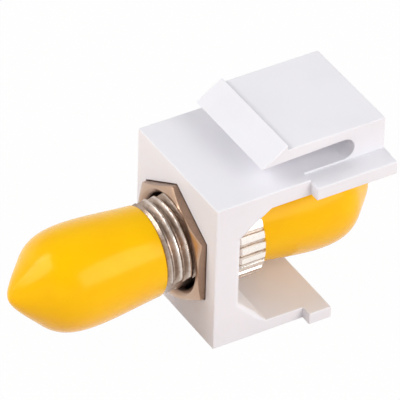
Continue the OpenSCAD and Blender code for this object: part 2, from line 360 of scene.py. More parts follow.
@dataclass(frozen=True)
class DippedVinyl(Finish):
    """Soft glossy vinyl, formed by dipping, with slow waves in its surface.

    Attributes:
        colour: main colour.
        deep: colour where the vinyl is thicker.
        roughness: mean roughness.
        wave_mm: size of the waves.
        ripple_mm: size of the ripples on them.
        dust_mm: size of the dust's specks.
        dust_change: how much the dust changes the roughness.
        relief_mm: height of the relief.
    """

    colour: Colour
    deep: Colour
    roughness: float
    wave_mm: float = 3.2
    ripple_mm: float = 0.35
    dust_mm: float = 0.12
    dust_change: float = 0.08
    relief_mm: float = 0.05

    def shade(self, shader: Shader) -> Expression:
        """Adds the vinyl's nodes.

        Args:
            shader: nodes that are being made.

        Returns:
            The shader that ends them.
        """
        waves = shader.noise(self.wave_mm, detail=2.0, roughness=0.45)
        ripples = shader.noise(self.ripple_mm, detail=2.0, roughness=0.5)
        dust = shader.noise(self.dust_mm, detail=2.0, roughness=0.6)
        return shader.principled(
            Base_Color=shader.blend(waves.between(0.3, 0.75), self.colour, self.deep),
            Roughness=dust * self.dust_change + (self.roughness - self.dust_change / 2),
            Normal=shader.bump(waves * 0.8 + ripples * 0.12, self.relief_mm, strength=0.6),
            Specular_IOR_Level=0.42, Specular_Tint=(1.0, 0.7, 0.3), IOR=1.5,
            Subsurface_Weight=0.12, Subsurface_Scale=1.0 * MM, Subsurface_Radius=(1.0, 0.45, 0.05))


@dataclass(frozen=True)
class ShadeBand:
    """Band of distances to the adapter's axis in which painted shade darkens the plating.

    Attributes:
        start: distance at which the dull tone starts.
        floor: distance from which it is full.
        edge: distance at which it starts to fade.
        clear: distance at which it is gone.
        share: how dark the band's painted shade is, from 0 to 1.
    """

    start: float
    floor: float
    edge: float
    clear: float
    share: float = 1.0

    def mask(self, radius: Expression) -> Expression:
        """Finds how much shade is painted on the plating.

        Args:
            radius: distance to the axis, in metres.

        Returns:
            The share of the painted shade, from 0 to 1.
        """
        rise = radius.between(self.start * MM, self.floor * MM)
        fade = radius.between(self.edge * MM, self.clear * MM)
        return rise * (1.0 - fade) * self.share


@dataclass(frozen=True)
class PlatedMetal(Finish):
    """Turned metal under bright plating, with tool marks round the axis, stains, and painted shade in its
    hollows and on its underside.

    Attributes:
        colour: colour of the clean plating.
        stain_and_shade: colour of the stained plating, and of the painted shade.
        roughness: roughness of the clean plating.
        mark_mm: distance between tool marks.
        stain_mm: size of the stains.
        speck_mm: size of the specks.
        fine_mm: size of the finest grain.
        shade_bands: bands of distance to the axis in which shade is painted on the plating.
        under: heights between which the painted shade of the underside fades out, or below the object.
        relief_mm: height of the relief.
    """

    colour: Colour
    stain_and_shade: Colour
    roughness: float
    mark_mm: float
    stain_mm: float = 1.6
    speck_mm: float = 0.35
    fine_mm: float = 0.09
    shade_bands: tuple[ShadeBand, ...] = ()
    # Below these heights the plating gets painted shade, for its underside.
    under: Pair = (-2.0, -1.0)
    relief_mm: float = 0.008

    def painted_shade_mask(self, shader: Shader, radius: Expression) -> Expression:
        """Finds where shade is painted: in bands of distance to the axis, and on the underside by its height.

        Args:
            shader: nodes that are being made.
            radius: distance to the axis, in metres.

        Returns:
            How much painted shade a place gets, from 0 to 1.
        """
        mask = 1.0 - shader.part(shader.place(), "Z").between(*(height * MM for height in self.under))
        for painted_shade in self.shade_bands:
            mask = mask.maximum(painted_shade.mask(radius))
        return mask

    def shade(self, shader: Shader) -> Expression:
        """Adds the plating's nodes.

        Args:
            shader: nodes that are being made.

        Returns:
            The shader that ends them.
        """
        radius = shader.axis_radius()
        along = shader.part(shader.place(), "Y")
        round_axis = shader.combine(radius, along, radius * 0.3)
        marks = shader.noise_at(round_axis, self.mark_mm, detail=3.0, roughness=0.6)
        stains = shader.noise(self.stain_mm, detail=3.0, roughness=0.55)
        fine = shader.noise(self.fine_mm, detail=2.0, roughness=0.6)
        specks = shader.noise(self.speck_mm, detail=2.0, roughness=0.7)
        # Painted shade in the hollows and on the underside, mixed with the plating's own stains, which are
        # made stronger there.
        painted_shade = self.painted_shade_mask(shader, radius)
        stained = stains.between(0.45, 0.8) * 0.45 + specks.between(0.5, 0.75) * 0.35
        stain_and_shade_amount = painted_shade * 0.85 + stained * (0.2 + painted_shade * 0.6)
        relief = marks + fine * 0.5 + specks * painted_shade * 5.0
        return shader.principled(
            Base_Color=shader.blend(stain_and_shade_amount, self.colour, self.stain_and_shade), Metallic=1.0,
            Roughness=stain_and_shade_amount * 0.12 + fine * 0.1 + (self.roughness - 0.08),
            Normal=shader.bump(relief, self.relief_mm, strength=0.7))


@dataclass(frozen=True)
class NutPlate(PlatedMetal):
    """Plating of the nut, with painted shade on the faces that look across the axis, its flats and its bore.

    Attributes:
        flat_shade: how much painted shade the flats get, from 0 to 1.
    """

    flat_shade: float = 0.5

    def painted_shade_mask(self, shader: Shader, radius: Expression) -> Expression:
        """Finds where shade is painted: the countersink by its distance to the axis, and the flats by the way
        they face.

        Args:
            shader: nodes that are being made.
            radius: distance to the axis, in metres.

        Returns:
            How much painted shade a place gets, from 0 to 1.
        """
        normal = shader.node("ShaderNodeNewGeometry", out="Normal")
        # Faces that look across the axis, the flats and the bore, get painted shade.
        turned = shader.part(normal, "Y").absolute().between(0.1, 0.5)
        return ((1.0 - turned) * self.flat_shade).maximum(super().painted_shade_mask(shader, radius))


@dataclass(frozen=True)
class StagePaper(Finish):
    """White paper under the object, seen as nearly plain white and still taking a faint shadow.

    Attributes:
        colour: colour that the paper gives to the light it sends back.
        glow: share of plain white in what the camera and reflections see.
    """

    colour: Colour
    glow: float

    def shade(self, shader: Shader) -> Expression:
        """Adds the paper's nodes.

        Args:
            shader: nodes that are being made.

        Returns:
            The shader that ends them.
        """
        seen = shader.node("ShaderNodeLightPath", out="Is Camera Ray")
        for ray in ("Is Glossy Ray", "Is Transmission Ray"):
            seen = seen.maximum(shader.node("ShaderNodeLightPath", out=ray))
        paper = shader.node("ShaderNodeBsdfDiffuse", {}, {"Color": self.colour})
        white = shader.node("ShaderNodeEmission", {}, {"Color": (1.0, 1.0, 1.0), "Strength": 1.0})
        return shader.node("ShaderNodeMixShader", {}, {0: seen * self.glow, 1: paper, 2: white})


# Bands of painted shade: the nut's bore and countersink; the body's bores and end faces near its axis, at
# 0.3; its thread roots; and its flange's grooves.
COUNTERSINK_SHADE = ShadeBand(4.0, 4.25, 4.8, 5.02)
PORT_SHADE = ShadeBand(1.0, 1.1, 3.7, 3.9, share=0.3)
THREAD_ROOT_SHADE = ShadeBand(3.9, 4.2, 4.5, 4.95)
GROOVE_SHADE = ShadeBand(4.97, 5.02, 5.12, 5.32, share=0.7)

WHITE_ABS = MouldedPlastic(
    "moulded_white", colour=(0.86, 0.85, 0.89), flow_colour=(0.84, 0.83, 0.87), roughness=0.38)
YELLOW_VINYL = DippedVinyl(
    "dipped_yellow", colour=(1.0, 0.545, 0.0), deep=(0.99, 0.52, 0.0), roughness=0.21)
NUT_PLATE = NutPlate(
    "nut_plate", colour=(0.54, 0.365, 0.26), stain_and_shade=(0.22, 0.15, 0.12), roughness=0.32, mark_mm=0.12,
    shade_bands=(COUNTERSINK_SHADE,))
# The body also gets painted shade below 4.9 to 5.7 mm height, on the underside of its thread and flange.
BODY_PLATE = PlatedMetal(
    "body_plate", colour=(0.97, 0.91, 0.85), stain_and_shade=(0.36, 0.26, 0.20), roughness=0.26, mark_mm=0.1,
    shade_bands=(PORT_SHADE, THREAD_ROOT_SHADE, GROOVE_SHADE), under=(4.9, 5.7))
SLEEVE_BRONZE = PlatedMetal(
    "sleeve_bronze", colour=(0.78, 0.52, 0.28), stain_and_shade=(0.62, 0.38, 0.20), roughness=0.28, mark_mm=0.15)
PIN_STEEL = PlatedMetal(
    "pin_steel", colour=(0.70, 0.70, 0.70), stain_and_shade=(0.58, 0.57, 0.56), roughness=0.26, mark_mm=0.12)
STAGE_WHITE = StagePaper("stage_white", colour=(0.64, 0.53, 0.48), glow=0.985)


@lru_cache(maxsize=None)
def material_of(finish: Finish) -> bpy.types.Material:
    """Returns the material of a finish, which is made once."""
    return finish.material()


def finish_object(mesh: bmesh.types.BMesh, name: str, sharp_deg: float = SHARP_DEG) -> bpy.types.Object:
    """Turns an edit mesh in millimetres into a smooth-shaded object in metres.

    Args:
        mesh: edit mesh, which is freed.
        name: object's name.
        sharp_deg: angle above which an edge stays sharp.

    Returns:
        The linked object.
    """
    bmesh.ops.recalc_face_normals(mesh, faces=mesh.faces)
    bmesh.ops.scale(mesh, vec=(MM, MM, MM), verts=mesh.verts)
    data = bpy.data.meshes.new(name)
    mesh.to_mesh(data)
    mesh.free()
    data.shade_smooth()
    data.set_sharp_from_angle(angle=math.radians(sharp_deg))
    made = bpy.data.objects.new(name, data)
    bpy.context.scene.collection.objects.link(made)
    return made


def skin(rings: Sequence[np.ndarray]) -> bmesh.types.BMesh:
    """Joins rings of points into one closed surface, in which the last ring joins the first.

    Args:
        rings: arrays of points, all of one length, or of a single point at a pole.

    Returns:
        The edit mesh.
    """
    mesh = bmesh.new()
    loops = [[mesh.verts.new(point) for point in ring] for ring in rings]
    for one, two in zip(loops, loops[1:] + loops[:1]):
        count = max(len(one), len(two))
        for i in range(count if count > 1 else 0):
            j = (i + 1) % count
            corners = [one[i % len(one)], one[j % len(one)], two[j % len(two)], two[i % len(two)]]
            mesh.faces.new(list(dict.fromkeys(corners)))
    return mesh


def outline_arc(centre: Point, radius: float, start: float, end: float, steps: int) -> list[Point]:
    """Places points on an arc.

    Args:
        centre: centre of the arc.
        radius: its radius.
        start: first angle, in degrees.
        end: last angle, in degrees.
        steps: number of stretches.

    Returns:
        The points, both ends included.
    """
    angles = np.radians(np.linspace(start, end, steps + 1))
    return [(centre[0] + radius * math.cos(a), centre[1] + radius * math.sin(a)) for a in angles]


def sharp_edges(mesh: bmesh.types.BMesh) -> list[bmesh.types.BMEdge]:
    """Returns the edges that are sharp enough to be rounded."""
    return [edge for edge in mesh.edges if edge.calc_face_angle(0.0) > math.radians(ROUND_ABOVE_DEG)]


def round_off(mesh: bmesh.types.BMesh, edges: list[bmesh.types.BMEdge], radius: float, segments: int) -> None:
    """Rounds edges.

    Args:
        mesh: edit mesh that is changed.
        edges: edges to round.
        radius: radius, in millimetres.
        segments: number of strips on a rounded edge.
    """
    bmesh.ops.bevel(mesh, geom=edges, offset=radius, offset_type="OFFSET", segments=segments, profile=0.5,
                    affect="EDGES", clamp_overlap=True)


def slab(outline: Sequence[Point], low: float, high: float, way: Across, rounding: float = 0.0,
         segments: int = 3) -> bmesh.types.BMesh:
    """Gives a flat outline a thickness and rounds its sharp edges.

    Args:
        outline: corners of the outline.
        low: where the thickness starts.
        high: where it ends.
        way: plane of the outline.
        rounding: radius of the rounded edges, or 0 for sharp ones.
        segments: number of strips on a rounded edge.

    Returns:
        The edit mesh.
    """
    mesh = bmesh.new()
    ends = []
    for level in (low, high):
        points = [(level, a, b) if way is Across.X else (a, level, b) for a, b in outline]
        ends.append([mesh.verts.new(point) for point in points])
    count = len(outline)
    for i in range(count):
        j = (i + 1) % count
        mesh.faces.new([ends[0][i], ends[0][j], ends[1][j], ends[1][i]])
    mesh.faces.new(ends[0])
    mesh.faces.new(ends[1])
    bmesh.ops.recalc_face_normals(mesh, faces=mesh.faces)
    if rounding > 0:
        round_off(mesh, sharp_edges(mesh), rounding, segments)
    return mesh


def box_outline(left: float, bottom: float, right: float, top: float) -> list[Point]:
    """Returns the four corners of a rectangle."""
    return [(left, bottom), (right, bottom), (right, top), (left, top)]


def cut(target: bpy.types.Object, tool: bmesh.types.BMesh, operation: str = "DIFFERENCE") -> None:
    """Cuts a tool's form out of an object, or joins it on.

    Args:
        target: object whose mesh changes.
        tool: edit mesh of the tool, in millimetres.
        operation: name of the Boolean operation.
    """
    other = finish_object(tool, "tool")
    modifier = target.modifiers.new("cut", "BOOLEAN")
    modifier.object = other
    modifier.operation = operation
    modifier.solver = "EXACT"
    bpy.context.view_layer.update()
    result = bpy.data.meshes.new_from_object(target.evaluated_get(bpy.context.evaluated_depsgraph_get()))
    target.modifiers.remove(modifier)
    target.data = result
    bpy.data.meshes.remove(other.data)


def settle_shading(piece: bpy.types.Object, sharp_deg: float = SHARP_DEG) -> None:
    """Marks a piece's sharp edges again and keeps its flat faces evenly shaded.

    Args:
        piece: object to shade.
        sharp_deg: angle above which an edge stays sharp.
    """
    piece.data.shade_smooth()
    piece.data.set_sharp_from_angle(angle=math.radians(sharp_deg))
    weighted = piece.modifiers.new("even_faces", "WEIGHTED_NORMAL")
    weighted.keep_sharp = True


def dress(piece: bpy.types.Object, finish: Finish) -> None:
    """Gives a piece its material and logs it.

    Args:
        piece: object to dress.
        finish: what the piece is made of.
    """
    piece.data.materials.clear()
    piece.data.materials.append(material_of(finish))
    LOG.info("piece %s in %s", piece.name, finish.name)


def cubic(points: Sequence[Sequence[float]], steps: int) -> list[np.ndarray]:
    """Places points along a cubic curve.

    Args:
        points: two ends and, between them, the two points that the curve is drawn towards.
        steps: number of points.

    Returns:
        The points, without the first end.
    """
    a, b, c, d = (np.array(point, float) for point in points)
    made = []
    for i in range(1, steps + 1):
        t = i / steps
        s = 1 - t
        made.append(s ** 3 * a + 3 * s * s * t * b + 3 * s * t * t * c + t ** 3 * d)
    return made


@dataclass
class Insert:
    """White snap-in insert: front block, base, roof with ears, and the latch that bends.

    Attributes:
        width: width of the front block.
        height: its height.
        wall: thickness of the front wall.
        base: thickness of the base plate.
        base_length: length of the base plate from the front face.
        roof: thickness of the roof plate.
        low_slope: depth and height of the slope between wall and base.
        low_bend: how far that slope bends out of a straight line.
        bend_share: place of the bend, as a share of the slope.
        high_slope: depth and height of the slope between wall and roof.
        base_ear_length: length of a base ear.
        roof_ear_length: length of a roof ear.
        roof_ear: thickness of a roof ear.
        ear_step: how far the top of a roof ear lies below the roof.
        latch_width: width of the latch.
        root_length: length of the block that carries the latch.
        root_sunk: how far that block reaches into the roof.
        slot_height: height of the gap between roof and latch.
        arm: thickness of the latch where it bends.
        bend_length: length of the arm that is cut across so that it can bend.
        bend_step: distance between those cuts.
        tooth_length: length of the ramp on the tooth.
        tip_drop: how far the tip lies below the top of the arm.
        edge: rounding of the block's edges.
        rim: rounding of the side opening's edges.
        ear_edge: rounding of the ears.
        latch_edge: rounding of the latch.
        nut_across: width of the nut across its flats.
        pocket_gap: gap between the nut and each side of its pocket.
        pocket_depth: depth of the nut's pocket.
        axis_height: height of the adapter's axis.
        hole_radius: radius of the hole for the thread.
        flange_room: radius that is kept free round the flange.
        flange_rear: where that room ends.
        past: how far a cutting tool reaches past the face that it cuts.
        hide: step that keeps joined faces from lying in one plane.
    """

    width: float = 14.5
    height: float = 16.2
    wall: float = 2.8
    base: float = 1.25
    base_length: float = 12.2
    roof: float = 1.75
    low_slope: Pair = (2.95, 3.05)
    low_bend: float = 0.1
    bend_share: float = 0.6
    high_slope: Pair = (3.1, 2.6)
    base_ear_length: float = 2.45
    roof_ear_length: float = 8.7
    roof_ear: float = 1.4
    ear_step: float = 0.2
    latch_width: float = 12.0
    root_length: float = 3.3
    root_sunk: float = 0.6
    slot_height: float = 2.2
    arm: float = 1.1
    bend_length: float = 4.4
    bend_step: float = 0.2
    tooth_length: float = 2.8
    tip_drop: float = 1.35
    edge: float = 0.32
    rim: float = 0.55
    ear_edge: float = 0.12
    latch_edge: float = 0.09
    nut_across: float = 11.1
    pocket_gap: float = 0.1
    pocket_depth: float = 1.1
    axis_height: float = AXIS_HEIGHT
    hole_radius: float = 4.85
    flange_room: float = 5.55
    flange_rear: float = 6.75
    past: float = 1.0
    hide: float = 0.004

    def __post_init__(self) -> None:
        """Reads the reach of the ears, the roof and the tooth from the solids."""
        low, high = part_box("housing")
        tip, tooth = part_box("latch_arm")
        self.ear_reach = high.x / MM
        self.roof_end = high.y / MM
        self.arm_top = high.z / MM
        self.tip = tip.y / MM
        self.tooth_top = tooth.z / MM
        self.slot_end = self.roof_end - self.root_length

    def opening_outline(self) -> list[Point]:
        """Returns the corners of the side opening, in Y and Z, from the base to the roof."""
        wall, base, ceiling = self.wall, self.base, self.height - self.roof
        reach, rise = self.low_slope
        length = math.hypot(reach, rise)
        bend = (wall + self.bend_share * reach + self.low_bend * rise / length,
                base + rise - self.bend_share * rise + self.low_bend * reach / length)
        high_reach, drop = self.high_slope
        return [(wall + reach, base), bend, (wall, base + rise), (wall, ceiling - drop),
                (wall + high_reach, ceiling)]

    def side_outline(self) -> list[Point]:
        """Returns the section of front block, base and roof, in Y and Z."""
        return [
            (0, 0), (self.base_length, 0), (self.base_length, self.base), *self.opening_outline(),
            (self.roof_end, self.height - self.roof), (self.roof_end, self.height), (0, self.height),
        ]

    def disc(self, radius: float, low: float, high: float, sides: int = 96,
             turn: float = 0.0) -> bmesh.types.BMesh:
        """Makes a plug on the adapter's axis, round or with a few flat sides.

        Args:
            radius: distance of its corners from the axis.
            low: its front end.
            high: its rear end.
            sides: number of sides.
            turn: angle of its first corner, in degrees.

        Returns:
            The edit mesh.
        """
        ring = outline_arc((0, self.axis_height), radius, turn, turn + 360, sides)[:-1]
        return slab(ring, low, high, Across.Y)

    def build_block(self) -> bpy.types.Object:
        """Returns the front block with its base and roof, all edges rounded."""
        half = self.width / 2
        mesh = slab(self.side_outline(), -half, half, Across.X)
        corners = {tuple(np.round(point, 3)) for point in self.opening_outline()}
        rim = [edge for edge in mesh.edges
               if all(tuple(np.round((v.co.y, v.co.z), 3)) in corners for v in edge.verts)
               and edge.verts[0].co.x == edge.verts[1].co.x]
        round_off(mesh, rim, self.rim, segments=5)
        round_off(mesh, sharp_edges(mesh), self.edge, segments=4)
        return finish_object(mesh, "insert_shell")

    def add_ears(self, shell: bpy.types.Object) -> None:
        """Lowers the roof beside the latch and joins the ears on.

        Args:
            shell: front block with base and roof.
        """
        reach, hide = self.ear_reach, self.hide
        ear_top = self.height - self.ear_step
        ear_front = self.roof_end - self.roof_ear_length
        for side in (-1, 1):
            inner, outer = sorted(side * reached for reached in (
                self.latch_width / 2 - 2 * hide, self.width / 2 + self.past))
            step = box_outline(inner, ear_top, outer, self.height + self.past)
            cut(shell, slab(step, ear_front, self.roof_end + self.past, Across.Y))
        roof_ears = box_outline(-reach, ear_top - self.roof_ear, reach, ear_top - hide)
        base_ears = box_outline(-reach, hide, reach, self.base - hide)
        base_front = self.base_length - self.base_ear_length
        cut(shell, slab(roof_ears, ear_front, self.roof_end - hide, Across.Y, self.ear_edge), "UNION")
        cut(shell, slab(base_ears, base_front, self.base_length - hide, Across.Y, self.ear_edge), "UNION")

    def cut_seats(self, shell: bpy.types.Object) -> None:
        """Cuts the nut's pocket, the hole for the thread and the room round the flange.

        Args:
            shell: front block with base and roof.
        """
        corner = (self.nut_across / 2 + self.pocket_gap) / math.cos(math.radians(30))
        cut(shell, self.disc(corner, -self.past, self.pocket_depth, sides=6, turn=90))
        cut(shell, self.disc(self.hole_radius, -self.past, self.wall + self.past))
        cut(shell, self.disc(self.flange_room, self.wall, self.flange_rear))

    def latch_outline(self) -> list[Point]:
        """Returns the section of the latch and the block that carries it, in Y and Z."""
        radius = self.slot_height / 2
        centre = (self.slot_end - radius, self.height + radius)
        rear = self.roof_end - self.hide
        tooth = self.tip + self.tooth_length
        sunk = self.height - self.root_sunk
        return [
            (centre[0], sunk), (rear, sunk), (rear, self.arm_top), (tooth, self.arm_top),
            (tooth, self.tooth_top), (self.tip, self.arm_top - self.tip_drop),
            *outline_arc(centre, radius, 90, -90, steps=20),
        ]

    def build_latch(self) -> bpy.types.Object:
        """Returns the latch with its root, cut across so that the arm can bend evenly."""
        half = self.latch_width / 2
        mesh = slab(self.latch_outline(), -half, half, Across.X, self.latch_edge)
        last = self.slot_end + self.bend_step / 2
        for place in np.arange(self.slot_end - self.bend_length, last, self.bend_step):
            whole = mesh.verts[:] + mesh.edges[:] + mesh.faces[:]
            bmesh.ops.bisect_plane(mesh, geom=whole, plane_co=(0, place, 0), plane_no=(0, 1, 0))
        return finish_object(mesh, "latch_spring")

    def build(self) -> None:
        """Builds and dresses the two mouldings, and fixes the shell to the root."""
        shell = self.build_block()
        self.add_ears(shell)
        self.cut_seats(shell)
        settle_shading(shell)
        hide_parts("housing")
        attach(shell, "root")
        dress(shell, WHITE_ABS)
        latch = self.build_latch()
        settle_shading(latch)
        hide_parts("latch_arm")
        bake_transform(latch)
        dress(latch, WHITE_ABS)


@dataclass
class Turned:
    """Shared ways of the pieces that lie round the adapter's axis.

    Attributes:
        axis_height: height of the axis.
        sharp_deg: angle above which an edge stays sharp.
    """

    axis_height: float = AXIS_HEIGHT
    sharp_deg: float = SHARP_DEG

    def ring(self, radius: PerColumn, place: PerColumn, angles: np.ndarray) -> np.ndarray:
        """Places points round the axis.

        Args:
            radius: distance from the axis, for all angles or one each.
            place: distance along the axis, for all angles or one each.
            angles: angles from +X towards +Z, in radians.

        Returns:
            The points, one in each row.
        """
        across = radius * np.cos(angles)
        up = self.axis_height + radius * np.sin(angles)
        return np.stack([across, np.broadcast_to(place, angles.shape), up], axis=1)


@dataclass
class HexNut(Turned):
    """Plated hexagonal nut with chamfered corners, seated in the pocket.

    Attributes:
        sharp_deg: angle above which an edge stays sharp.
        across_flats: width across the flats.
        bore: radius of the bore.
        countersink: width of the countersink beyond the bore.
        chamfer_deg: slope of the corners, from the face.
        blunt_deg: angle from a flat's middle at which the corner is blunted.
        columns: number of points round the nut.
        edge: width of the broken edges.
        crease: how far back a flat starts, as a share of that width.
        rear_chamfer: chamfer of the bore at the rear face.
    """

    sharp_deg: float = 20.0
    across_flats: float = 11.1
    bore: float = 4.77
    countersink: float = 0.45
    chamfer_deg: float = 25.0
    blunt_deg: float = 29.2
    columns: int = 240
    edge: float = 0.06
    crease: float = 0.2
    rear_chamfer: float = 0.1

    def sections(self, front: float, rear: float, angles: np.ndarray) -> list[tuple[PerColumn, PerColumn]]:
        """Works out the nut's rings.

        Args:
            front: place of the front face.
            rear: place of the rear face.
            angles: angles of the columns.

        Returns:
            Radius and place of each ring, out over the front and back in at the rear.
        """
        flat = self.across_flats / 2
        from_flat = np.radians((np.degrees(angles) + 30) % 60 - 30)
        hexagon = np.minimum(flat / np.cos(from_flat), flat / math.cos(math.radians(self.blunt_deg)))
        slope = (hexagon - flat) * math.tan(math.radians(self.chamfer_deg))
        inner, wide, edge = self.bore, self.bore + self.countersink, self.edge
        crease = self.crease * edge
        round_flat = np.minimum(hexagon, flat)
        return [
            (inner, rear - self.rear_chamfer), (inner, front + self.countersink), (wide - edge, front + edge),
            (wide + edge, front), (round_flat - edge, front), (round_flat, front + crease),
            (hexagon - edge, front + slope + crease), (hexagon, front + slope + edge),
            (hexagon, rear - slope - edge), (round_flat, rear), (inner + self.rear_chamfer, rear),
        ]

    def build(self) -> None:
        """Builds, dresses and fixes the nut."""
        low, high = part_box("hex_nut")
        angles = np.linspace(0, 2 * math.pi, self.columns, endpoint=False)
        sections = self.sections(low.y / MM, high.y / MM, angles)
        rings = [self.ring(radius, place, angles) for radius, place in sections]
        nut = finish_object(skin(rings), "nut")
        settle_shading(nut, self.sharp_deg)
        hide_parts("hex_nut")
        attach(nut, "root")
        dress(nut, NUT_PLATE)


@dataclass
class Coupler(Turned):
    """Plated adapter body: front barrel, thread with two flats, and serrated flange.

    Attributes:
        sharp_deg: angle above which an edge stays sharp.
        roll_deg: turn of the body in its hole.
        barrel: outer radius of the barrel.
        port: radius of its bore.
        thread: outer radius of the thread.
        thread_front: place where the thread starts.
        thread_lead: how far its first turn starts below the outer radius.
        pitch: distance between two crests.
        crest_place: place of a crest at the angle 0.
        crest_share: width of a crest, as a share of the pitch.
        root_share: width of a root, as a share of the pitch.
        thread_depth: depth of the thread.
        thread_shown: place up to which the thread is seen and finely divided.
        fine_rows: rows for each turn up to there.
        coarse_rows: rows for each turn behind it.
        flat: distance of the thread's flats from the axis.
        wall: place of the wall's rear face.
        seat: radius of the seat between wall and flange.
        seat_length: length of that seat.
        flange: radius of the serrated flange.
        flange_chamfer: chamfer at its front.
        grooves: number of its grooves.
        groove_depth: their depth.
        groove_turn: angle from the roll to the nearest groove.
        groove_floor: where a groove's floor ends, as a share of the distance between grooves.
        groove_side: where its side is nearly up.
        groove_side_depth: depth there, as a share of the groove's depth.
        groove_top: where its side meets the tooth.
        tooth_columns: places of the columns on a tooth.
        chamfer: chamfer on turned edges.
        bore_chamfer: chamfer on the edges of the bores.
        edge: smallest step between two rings.
        counterbore: radius of the bore for the rear barrel's spigot.
        rear_chamfer: chamfer at the mouth of that bore.
        chamber: radius of the sleeve's chamber.
        entry: radius of the ferrule's entry.
        lip: thickness of the lip that holds the sleeve.
        sleeve_front: place of the chamber's front end.
        spigot_front: place of the counterbore's floor.
        keyway: width and length of the keyway.
        barrel_rows: number of rows behind the keyway.
        past: how far the keyway's tool reaches past the barrel.
    """

    sharp_deg: float = 24.0
    roll_deg: float = -38.0
    barrel: float = 3.55
    port: float = 2.6
    thread: float = 4.75
    thread_front: float = -3.4
    thread_lead: float = 0.45
    pitch: float = 1.0
    crest_place: float = -3.08
    crest_share: float = 0.15
    root_share: float = 0.14
    thread_depth: float = 0.5
    thread_shown: float = 0.4
    fine_rows: int = 36
    coarse_rows: int = 8
    flat: float = 4.15
    wall: float = 2.8
    seat: float = 4.975
    seat_length: float = 0.85
    flange: float = 5.4
    flange_chamfer: float = 0.4
    grooves: int = 30
    groove_depth: float = 0.3
    groove_turn: float = 2.3
    groove_floor: float = 0.13
    groove_side: float = 0.165
    groove_side_depth: float = 0.25
    groove_top: float = 0.2
    tooth_columns: tuple[float, ...] = (0.35, 0.5, 0.65)
    chamfer: float = 0.2
    bore_chamfer: float = 0.15
    edge: float = 0.02
    counterbore: float = 3.22
    rear_chamfer: float = 0.1
    chamber: float = 1.65
    entry: float = 1.3
    lip: float = 0.6
    sleeve_front: float = -4.025
    spigot_front: float = 2.95
    keyway: Pair = (1.2, 3.4)
    barrel_rows: int = 6
    past: float = 1.0

    def angles(self) -> np.ndarray:
        """Returns the columns' angles, close together at each groove."""
        step = 360 / self.grooves
        first = self.roll_deg + self.groove_turn
        sides = (self.groove_floor, self.groove_side, self.groove_top)
        columns = [-side for side in reversed(sides)] + [*sides, *self.tooth_columns]
        return np.radians([first + (i + column) * step for i in range(self.grooves) for column in columns])

    def thread_radius(self, place: float, angles: np.ndarray) -> np.ndarray:
        """Works out the thread at one place, with its flats and lead-in.

        Args:
            place: distance along the axis.
            angles: angles of the columns.

        Returns:
            Its radius at each angle.
        """
        turn = (place - self.crest_place) / self.pitch + angles / (2 * math.pi)
        from_crest = np.abs(np.mod(turn + 0.5, 1.0) - 0.5)
        ridge = np.interp(from_crest, [self.crest_share / 2, 0.5 - self.root_share / 2], [1.0, 0.0])
        radius = self.thread - self.thread_depth * (1 - ridge)
        lead = self.thread - self.thread_lead + (place - self.thread_front)
        towards_flat = np.abs(np.cos(angles - math.radians(self.roll_deg)))
        # Square to the flats their radius would be endless, so the divisor is kept from 0.
        flats = self.flat / np.maximum(towards_flat, 0.1)
        return np.minimum(np.minimum(radius, lead), flats)

    def flange_radius(self, outer: float, angles: np.ndarray) -> np.ndarray:
        """Works out the flange's serrated edge.

        Args:
            outer: radius over the teeth.
            angles: angles of the columns.

        Returns:
            Its radius at each angle.
        """
        step = math.radians(360 / self.grooves)
        first = math.radians(self.roll_deg + self.groove_turn)
        turn = np.mod((angles - first) / step + 0.5, 1.0) - 0.5
        sides = [self.groove_floor, self.groove_side, self.groove_top]
        depths = [1.0, self.groove_side_depth, 0.0]
        return outer - self.groove_depth * np.interp(np.abs(turn), sides, depths)

    def outside(self, front: float, rear: float, angles: np.ndarray) -> list[tuple[PerColumn, float]]:
        """Works out the rings of the outside.

        Args:
            front: front end of the barrel.
            rear: rear face of the flange.
            angles: angles of the columns.

        Returns:
            Radius and place of each ring, from front to rear.
        """
        edge = self.chamfer
        rings = [
            (self.port + self.bore_chamfer, front), (self.barrel - edge, front), (self.barrel, front + edge),
        ]
        behind_keyway = np.linspace(front + self.keyway[1], self.thread_front, self.barrel_rows)
        rings += [(self.barrel, place) for place in behind_keyway]
        shown = int((self.thread_shown - self.thread_front) / self.pitch * self.fine_rows)
        hidden = int((self.wall - self.thread_shown) / self.pitch * self.coarse_rows)
        places = np.concatenate([np.linspace(self.thread_front, self.thread_shown, shown),
                                 np.linspace(self.thread_shown, self.wall, hidden)[1:]])
        rings += [(self.thread_radius(place, angles), place) for place in places]
        shoulder, slope = self.flange - edge, self.flange_chamfer
        flange_front = self.wall + self.seat_length
        rings += [
            (self.seat, self.wall), (self.seat, flange_front - self.edge),
            (self.flange_radius(self.flange - slope, angles), flange_front),
            (self.flange_radius(self.flange, angles), flange_front + slope),
            (self.flange_radius(self.flange, angles), rear - edge),
            (self.flange_radius(shoulder, angles), rear - self.edge),
            (shoulder - self.groove_depth, rear), (self.counterbore + self.rear_chamfer, rear),
        ]
        return rings

    def inside(self, front: float, rear: float) -> list[tuple[PerColumn, float]]:
        """Works out the rings of the inside.

        Args:
            front: front end of the barrel.
            rear: rear face of the flange.

        Returns:
            Radius and place of each ring, from rear to front.
        """
        floor = self.sleeve_front - self.lip
        edge = self.bore_chamfer
        return [
            (self.counterbore, rear - self.rear_chamfer), (self.counterbore, self.spigot_front),
            (self.chamber, self.spigot_front), (self.chamber, self.sleeve_front),
            (self.entry, self.sleeve_front), (self.entry, floor + edge), (self.entry + edge, floor),
            (self.port, floor), (self.port, front + edge),
        ]

